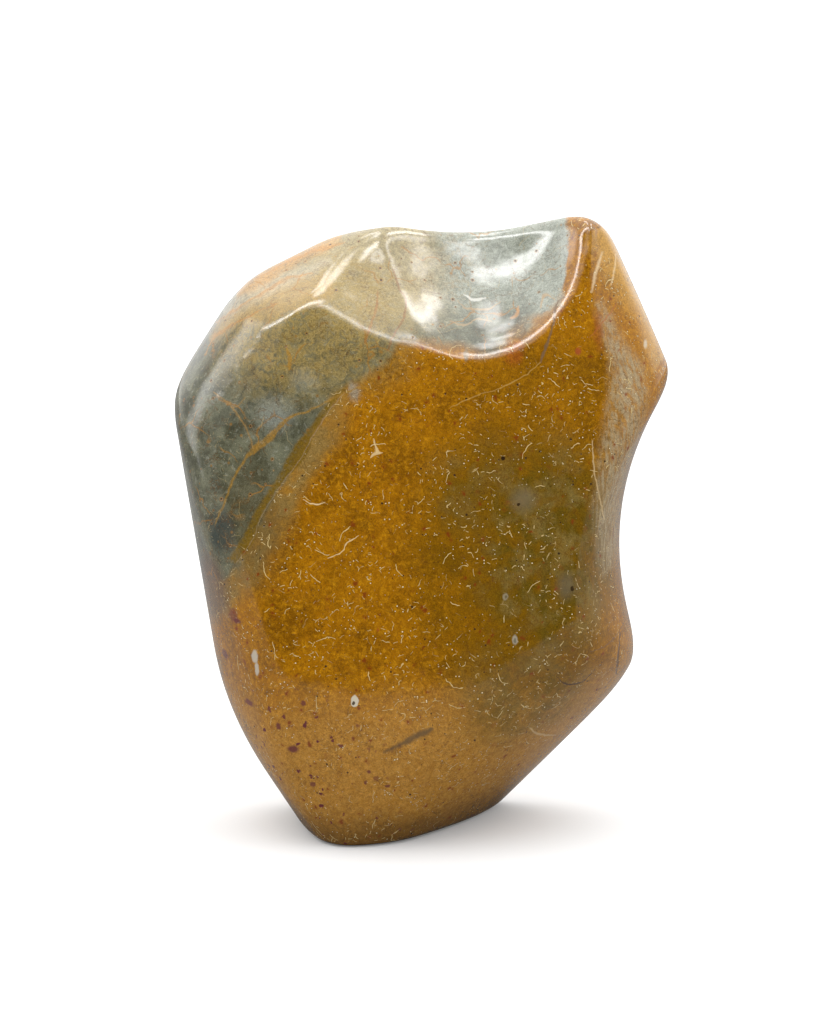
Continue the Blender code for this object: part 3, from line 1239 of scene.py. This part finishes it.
    def flecks(self, at: Reading, colour: Signal, grey: Signal) -> Tuple[Signal, Signal]:
        """Hairs, pinpoints, pits, and maroon and rust specks.

        Args:
            at: where the finish is read.
            colour: the colour so far.
            grey: how far the place is in the blue-grey corner.

        Returns:
            The colour and the relief.
        """
        bench, place = at.bench, at.place
        crowd = HAIRS_CROWD.of(CROWDS.at(place))
        bright = 1.0 - grey * GREY_HIDES
        crowded = crowd * bright
        colour = bench.shade(colour, FIBRES_LIGHTEN.of(FIBRES.at(place)))
        wavy = HAIR_SWAY.moved(place)
        hairs = (
            (Flecks.LONG_HAIRS.value, bright),
            (Flecks.MIDDLE_HAIRS.value, crowded),
            (Flecks.SHORT_HAIRS.value, crowded),
        )
        for kind, share in hairs:
            colour = self.strewn(colour, kind.hairs(wavy, at.normal), kind, share, self.hair)
        kind = Flecks.PINPOINTS.value
        share = (crowd * (1.0 - STRAY_PINPOINTS) + STRAY_PINPOINTS) * bright
        colour = self.strewn(colour, kind.dots(place), kind, share, self.pinpoint)
        kind = Flecks.PITS.value
        pits, halo = kind.dots(place)
        colour = bench.blend(halo * kind.ring * grey, colour, self.rust)
        colour = bench.blend(pits * kind.strength, colour, self.pit)
        loose = SPECK_SWAY.moved(place)
        blood, _ = Flecks.MAROON_SPECKS.value.dots(loose)
        x, _, z = bench.parts(place)
        foot = MAROON_FOOT.of(z) * MAROON_LEFT.of(x + (z + MAROON_TOP) * MAROON_LEAN)
        foot = foot * (1.0 - STRAY_MAROON) + STRAY_MAROON
        colour = bench.blend(blood * foot * (1.0 - grey), colour, self.maroon)
        kind = Flecks.RUST_SPECKS.value
        russet, stain = kind.dots(loose)
        rusty = (russet * kind.strength + stain * kind.ring) * (1.0 - grey)
        colour = bench.blend(rusty, colour, self.russet)
        return colour, pits * -1.0

    def landmarks(self, at: Reading, colour: Signal, relief: Signal) -> Tuple[Signal, Signal]:
        """The chips, cracks and grey ovals that can be told apart on the front.

        Args:
            at: where the finish is read.
            colour: the colour so far.
            relief: the relief so far.

        Returns:
            The colour and the relief.
        """
        swayed = MARK_SWAY.moved(at.place)
        for crack in STONE_CRACKS:
            mask = crack.mask(swayed)
            colour = at.bench.blend(mask, colour, crack.tint)
            if crack.depth:
                relief = relief - mask * crack.depth
        for chip in STONE_CHIPS:
            colour = chip.laid(swayed, colour)
        return colour, relief

    def sheen(self, place: Signal) -> Signal:
        """How dull the polish is from place to place."""
        return DULLNESS.at(place) * self.dulled + (self.roughness - self.dulled / 2.0)

    def ripple(self, place: Signal, relief: Signal) -> Signal:
        """The polish's faint ripple with the pits and cracks sunk in it.

        Args:
            place: the place, in millimetres from the heart.
            relief: how far the pits and cracks stand out, which is below 0.

        Returns:
            The way the polish looks.
        """
        height = SWELL.at(place) * self.swell + TOOTH.at(place) * self.tooth + relief * self.sunk
        looks = {"Strength": self.bump, "Distance": self.bump_height, "Height": height}
        return place.bench.signal(place.bench.node("ShaderNodeBump", looks))


@dataclass
class JasperStone:
    """The one ground stone, as a fine mesh over the same faces as the solid.

    Args:
        faces: the faces that it is ground to.
        hollows: the faces that are hollowed out of its top last.
        rim: how widely the hollows' rim is eased.
        middle: the point that its surface is cast from.
        block: the rough block's half width, half depth and half height.
        cuts: how many cuts there are along an edge of the block's cube.
        reach: how far from the middle the surface may lie.
        halvings: how many times the search for the surface is halved.
    """

    faces: Tuple[GroundFace, ...] = STONE_FACES
    hollows: Tuple[GroundFace, ...] = TOP_HOLLOWS
    rim: float = 3.4
    middle: Place = (27.0, 6.0, 0.0)
    block: Place = (57.0, 31.0, 70.0)
    cuts: int = 127
    reach: float = 110.0
    halvings: int = 27

    @staticmethod
    def joined(height: np.ndarray, other: np.ndarray, edge: float) -> np.ndarray:
        """The higher of two heights, with the edge between them eased."""
        nearness = np.maximum(edge - np.abs(height - other), 0.0) / edge
        return np.maximum(height, other) + 0.25 * edge * nearness**2

    def run(self, faces: Sequence[GroundFace], points: np.ndarray) -> np.ndarray:
        """How far points stand above a run of faces."""
        total = faces[0].height(points)
        for face in faces[1:]:
            total = self.joined(total, face.height(points), face.edge)
        return total

    def height(self, points: np.ndarray) -> np.ndarray:
        """How far points stand above the stone, its edges eased.

        Args:
            points: places from the heart, one a row.

        Returns:
            One height for each row, negative inside.
        """
        return self.joined(self.run(self.faces, points), self.run(self.hollows, points), self.rim)

    def cast(self, directions: np.ndarray) -> np.ndarray:
        """Where rays from the middle leave the stone.

        Args:
            directions: unit directions, one a row.

        Returns:
            The places on the surface, one a row.
        """
        middle = np.array(self.middle)
        near, far = np.zeros(len(directions)), np.full(len(directions), self.reach)
        for _ in range(self.halvings):
            half = 0.5 * (near + far)
            inside = self.height(middle + directions * half[:, None]) < 0.0
            near, far = np.where(inside, half, near), np.where(inside, far, half)
        return middle + directions * near[:, None]

    def fitted(self, points: np.ndarray, low: Vector, high: Vector) -> Tuple[np.ndarray, Vector]:
        """Sets the points into the solid's box.

        Args:
            points: places from the heart, in millimetres.
            low: the box's lowest corner, in metres.
            high: the box's highest corner, in metres.

        Returns:
            The places in metres, and the heart's place.
        """
        start, end = points.min(axis=0), points.max(axis=0)
        lowest = np.array(low)
        factor = (np.array(high) - lowest) / (end - start)
        return (points - start) * factor + lowest, Vector(lowest - start * factor)

    def build(self, low: Vector, high: Vector) -> Tuple[bpy.types.Object, Vector]:
        """Makes the stone's mesh.

        Args:
            low: the solid's lowest corner, in metres.
            high: the solid's highest corner, in metres.

        Returns:
            The stone, and the place of its heart in metres.
        """
        work = bmesh.new()
        bmesh.ops.create_cube(work, size=2.0)
        bmesh.ops.subdivide_edges(work, edges=work.edges[:], cuts=self.cuts, use_grid_fill=True)
        cube = np.array([v.co[:] for v in work.verts])
        rays = np.tan(cube * (math.pi / 4.0)) * np.array(self.block)
        rays /= np.linalg.norm(rays, axis=1)[:, None]
        points, heart = self.fitted(self.cast(rays), low, high)
        for vertex, point in zip(work.verts, points):
            vertex.co = point
        bmesh.ops.triangulate(work, faces=work.faces[:])
        mesh = bpy.data.meshes.new("stone_skin")
        work.to_mesh(mesh)
        work.free()
        mesh.shade_smooth()
        stone = bpy.data.objects.new("stone", mesh)
        bpy.context.scene.collection.objects.link(stone)
        return stone, heart

    def dress(self, stone: bpy.types.Object, heart: Vector, finish: JasperFinish) -> None:
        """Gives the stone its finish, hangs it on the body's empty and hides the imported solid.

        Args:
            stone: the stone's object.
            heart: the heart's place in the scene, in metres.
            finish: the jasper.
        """
        stone.data.materials.append(finish.material(heart))
        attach(stone, BODY_NAME)
        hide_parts(NODE_NAME)


@dataclass(frozen=True)
class FloorFinish:
    """White seamless paper, with a faint tooth.

    Args:
        colour: the paper's colour.
        shadow: the colour of the hollows in its tooth.
        tooth_share: how much of that colour shows.
        roughness: how dull the paper is.
        tooth: the grain of its tooth.
        glow: how much the paper is lifted so that it burns out to white.
        bounce: the paper's colour in the light that it throws on the stone.
        mirrored: the paper's colour in the polish.
    """

    colour: Tint = (0.70, 0.70, 0.70)
    shadow: Tint = (0.66, 0.66, 0.66)
    tooth_share: float = 0.04
    roughness: float = 0.9
    tooth: Noise = Noise(1.5)
    glow: float = 0.10
    bounce: Tint = (0.42, 0.42, 0.42)
    mirrored: Tint = (0.20, 0.20, 0.20)

    def material(self) -> bpy.types.Material:
        """Builds the paper."""
        made = bpy.data.materials.new("white_paper")
        made.use_nodes = True
        bench = NodeBench(made.node_tree)
        where = bench.node("ShaderNodeTexCoord")
        tooth = self.tooth.at(bench.scaled(bench.signal(where, "Object"), MM_PER_METRE))
        looks = {
            "Base Color": bench.blend(tooth * self.tooth_share, self.colour, self.shadow),
            "Roughness": self.roughness,
            "Specular IOR Level": 0.0,
            "Emission Color": (1.0, 1.0, 1.0),
            "Emission Strength": self.glow,
        }
        paper = bench.node("ShaderNodeBsdfPrincipled", looks)
        ray = bench.node("ShaderNodeLightPath")
        lit = bench.blend(bench.signal(ray, "Is Glossy Ray"), self.bounce, self.mirrored)
        dim = bench.node("ShaderNodeBsdfDiffuse", {"Color": lit})
        seen = bench.signal(ray, "Is Camera Ray")
        both = bench.node("ShaderNodeMixShader", {0: seen})
        bench.tree.links.new(dim.outputs[0], both.inputs[1])
        bench.tree.links.new(paper.outputs[0], both.inputs[2])
        out = bench.node("ShaderNodeOutputMaterial")
        bench.tree.links.new(both.outputs[0], out.inputs["Surface"])
        return made


@dataclass(frozen=True)
class Lamp:
    """One lamp or soft box overhead, seen in the polish alone.

    Args:
        left: its left edge, as the tangent of its angle from straight up.
        right: its right edge.
        front: its edge towards the camera.
        back: its edge away from the camera.
        level: its brightness.
        fade: how softly it ends.
    """

    left: float
    right: float
    front: float
    back: float
    level: float
    fade: float = 0.09

    def glow(self, across: Signal, ahead: Signal) -> Signal:
        """How bright the lamp is in a direction.

        Args:
            across: the direction's tangent to the right.
            ahead: the direction's tangent away from the camera.

        Returns:
            The brightness.
        """
        fade = self.fade
        wide = across.step(self.left - fade, self.left + fade)
        wide = wide * across.step(self.right + fade, self.right - fade)
        deep = ahead.step(self.front - fade, self.front + fade)
        deep = deep * ahead.step(self.back + fade, self.back - fade)
        return wide * deep * self.level


class Lamps(Enum):
    """The lamps of the tent."""

    FRONT_TUBE = Lamp(-2.2, 0.20, -0.47, -0.29, 17.0)
    FRONT_END = Lamp(0.10, 0.62, -0.62, -0.54, 18.0)
    RIGHT_TUBE = Lamp(0.46, 0.60, -0.02, 0.42, 17.0)
    BACK_LAMP = Lamp(-0.30, -0.02, 0.25, 0.44, 11.0)
    TOP_LAMP = Lamp(-0.16, 0.10, -0.06, 0.27, 11.0)
    RIGHT_END = Lamp(0.62, 0.80, -0.40, -0.06, 10.0, 0.08)
    LEFT_BOX = Lamp(-3.60, -1.50, -0.20, 1.00, 4.5, 0.45)
    RIGHT_BOX = Lamp(0.80, 2.00, -0.30, 0.70, 3.0, 0.25)


@dataclass
class Studio:
    """The white tent: paper floor, pale walls, lamps in its roof and a dark opening at the camera.

    Args:
        floor_size: the width of the paper, in metres.
        opening_side: how far the dark opening reaches to each side, as the tangent of its angle.
        opening_low: the sine of its lower edge's elevation.
        opening_high: the sine of its upper edge's elevation.
        side_fade: how softly its sides end, as a part of opening_side.
        near_fade: how softly it ends towards the back, as a direction's y.
        low_fade: how softly its lower edge ends.
        high_fade: how softly its upper edge ends.
        wall_level: the side walls' brightness in reflections.
        back_level: the back wall's brightness in reflections.
        roof_level: the roof's brightness in reflections.
        panel_level: the brightness of the panel that stands to the left.
        panel_side: where the panel fades in, as a direction's x.
        panel_ends: where it fades in and out from front to back, as a direction's y.
        panel_heights: where it fades in and out from foot to head, as a direction's z.
        dark_level: the opening's brightness in reflections.
        fill_side: the light that falls on the stone from the sides.
        fill_top: the light that falls on it from overhead.
        fill_opening: how much of that light the opening takes away.
        back_from: where the back wall fades in, as a direction's y.
        lamps_from: where the lamps may be seen, as a direction's z.
        roof_from: where the roof fades in.
        fill_from: where the overhead light fades in.
    """

    floor_size: float = 6.0
    opening_side: float = 1.6
    opening_low: float = -0.05
    opening_high: float = 0.79
    side_fade: float = 0.08
    near_fade: float = 0.02
    low_fade: float = 0.01
    high_fade: float = 0.03
    wall_level: float = 0.5
    back_level: float = 1.3
    roof_level: float = 2.5
    panel_level: float = 3.2
    panel_side: Span = (-0.78, -0.97)
    panel_ends: Tuple[Span, Span] = ((-0.20, 0.12), (0.55, 0.25))
    panel_heights: Tuple[Span, Span] = ((-0.20, 0.05), (0.50, 0.20))
    dark_level: float = 0.010
    fill_side: float = 0.62
    fill_top: float = 2.5
    fill_opening: float = 0.5
    back_from: Span = (0.3, 0.8)
    lamps_from: Span = (0.2, 0.3)
    roof_from: Span = (0.25, 0.9)
    fill_from: Span = (-0.2, 0.9)

    def lay_floor(self, finish: FloorFinish) -> bpy.types.Object:
        """Lays the paper floor.

        Args:
            finish: the paper.

        Returns:
            The floor.
        """
        half = self.floor_size / 2.0
        corners = [(-half, -half, 0.0), (half, -half, 0.0), (half, half, 0.0), (-half, half, 0.0)]
        mesh = bpy.data.meshes.new("paper")
        mesh.from_pydata(corners, [], [(0, 1, 2, 3)])
        mesh.materials.append(finish.material())
        floor = bpy.data.objects.new("paper_floor", mesh)
        bpy.context.scene.collection.objects.link(floor)
        return floor

    def light(self) -> bpy.types.World:
        """Hangs the tent's light: one world, whose lamps and opening show in reflections only.

        Returns:
            The world.
        """
        world = bpy.data.worlds.new("white_tent")
        world.use_nodes = True
        bench = NodeBench(world.node_tree)
        way = bench.signal(bench.node("ShaderNodeTexCoord"), "Generated")
        x, y, z = bench.parts(way)
        ahead = (y * -1.0).most(NEAR_ZERO)
        wide, low, high = self.opening_side, self.opening_low, self.opening_high
        side = (x.size() / ahead).step(wide * (1.0 + self.side_fade), wide * (1.0 - self.side_fade))
        opening = side * y.step(self.near_fade, -self.near_fade)
        opening = opening * z.step(low - self.low_fade, low + self.low_fade)
        opening = opening * z.step(high + self.high_fade, high - self.high_fade)
        up = z.most(NEAR_ZERO)
        across, ahead = x / up, y / up
        lamps = z.step(*self.lamps_from)
        glow = Lamps.FRONT_TUBE.value.glow(across, ahead)
        for lamp in list(Lamps)[1:]:
            glow = glow.most(lamp.value.glow(across, ahead))
        wall = y.step(*self.back_from) * (self.back_level - self.wall_level) + self.wall_level
        roof = z.step(*self.roof_from)
        seen = (wall * (1.0 - roof) + roof * self.roof_level).most(glow * lamps)
        seen = seen * (1.0 - opening) + opening * self.dark_level
        panel = x.step(*self.panel_side)
        for fade in self.panel_ends:
            panel = panel * y.step(*fade)
        for fade in self.panel_heights:
            panel = panel * z.step(*fade)
        seen = seen.most(panel * self.panel_level)
        fill = bench.blend(z.step(*self.fill_from), (self.fill_side,) * 3, (self.fill_top,) * 3)
        fill = bench.shade(fill, 1.0 - opening * self.fill_opening)
        ray = bench.node("ShaderNodeLightPath")
        light = bench.blend(bench.signal(ray, "Is Glossy Ray"), fill, seen)
        light = bench.blend(bench.signal(ray, "Is Camera Ray"), light, (1.0, 1.0, 1.0))
        back = bench.node("ShaderNodeBackground", {"Color": light})
        out = bench.node("ShaderNodeOutputWorld")
        bench.tree.links.new(back.outputs[0], out.inputs["Surface"])
        world.cycles.sampling_method = "NONE"
        bpy.context.scene.world = world
        return world


@dataclass
class Viewpoint:
    """The camera where the photographer stood.

    Args:
        elevation: how far it looks down, in degrees.
        distance: how far it stands from the heart, in millimetres.
        aside: how far its axis passes to the left of the heart, in millimetres.
        above: how far its axis passes above the heart, in millimetres.
        frame_height: the height of what it sees at the heart, in millimetres.
        film: the long side of its film, in millimetres.
    """

    elevation: float = 12.0
    distance: float = 950.0
    aside: float = 2.2
    above: float = 3.7
    frame_height: float = 237.26
    film: float = 36.0

    def place(self, heart: Vector) -> bpy.types.Object:
        """Sets the camera up.

        Args:
            heart: the heart's place in the scene, in metres.

        Returns:
            The camera.
        """
        angle = math.radians(self.elevation)
        back = Vector((0.0, -math.cos(angle), math.sin(angle)))
        up = Vector((0.0, math.sin(angle), math.cos(angle)))
        data = bpy.data.cameras.new("viewpoint")
        data.sensor_width = self.film
        data.lens = self.film * self.distance / self.frame_height
        camera = bpy.data.objects.new("viewpoint", data)
        offset = back * self.distance + up * self.above + Vector((-self.aside, 0.0, 0.0))
        turn = Matrix.Rotation(math.radians(90.0 - self.elevation), 4, "X")
        camera.matrix_world = Matrix.Translation(heart + offset / MM_PER_METRE) @ turn
        bpy.context.scene.collection.objects.link(camera)
        bpy.context.scene.camera = camera
        return camera


def main() -> None:
    """Builds the stone and its studio."""
    logging.basicConfig(level=logging.INFO, format="%(name)s: %(message)s")
    low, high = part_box(NODE_NAME)
    maker = JasperStone()
    stone, heart = maker.build(low, high)
    log.info("%s: %d triangles", stone.name, len(stone.data.polygons))
    maker.dress(stone, heart, JasperFinish())
    log.info("%s: dressed in %d nodes", stone.name, len(stone.data.materials[0].node_tree.nodes))
    studio = Studio()
    floor = studio.lay_floor(FloorFinish())
    log.info("%s: laid", floor.name)
    log.info("%s: lit", studio.light().name)
    camera = Viewpoint().place(heart)
    log.info("%s: %.1f mm lens", camera.name, camera.data.lens)
    bpy.context.scene.view_settings.view_transform = "Standard"


if __name__ == "__main__":
    main()
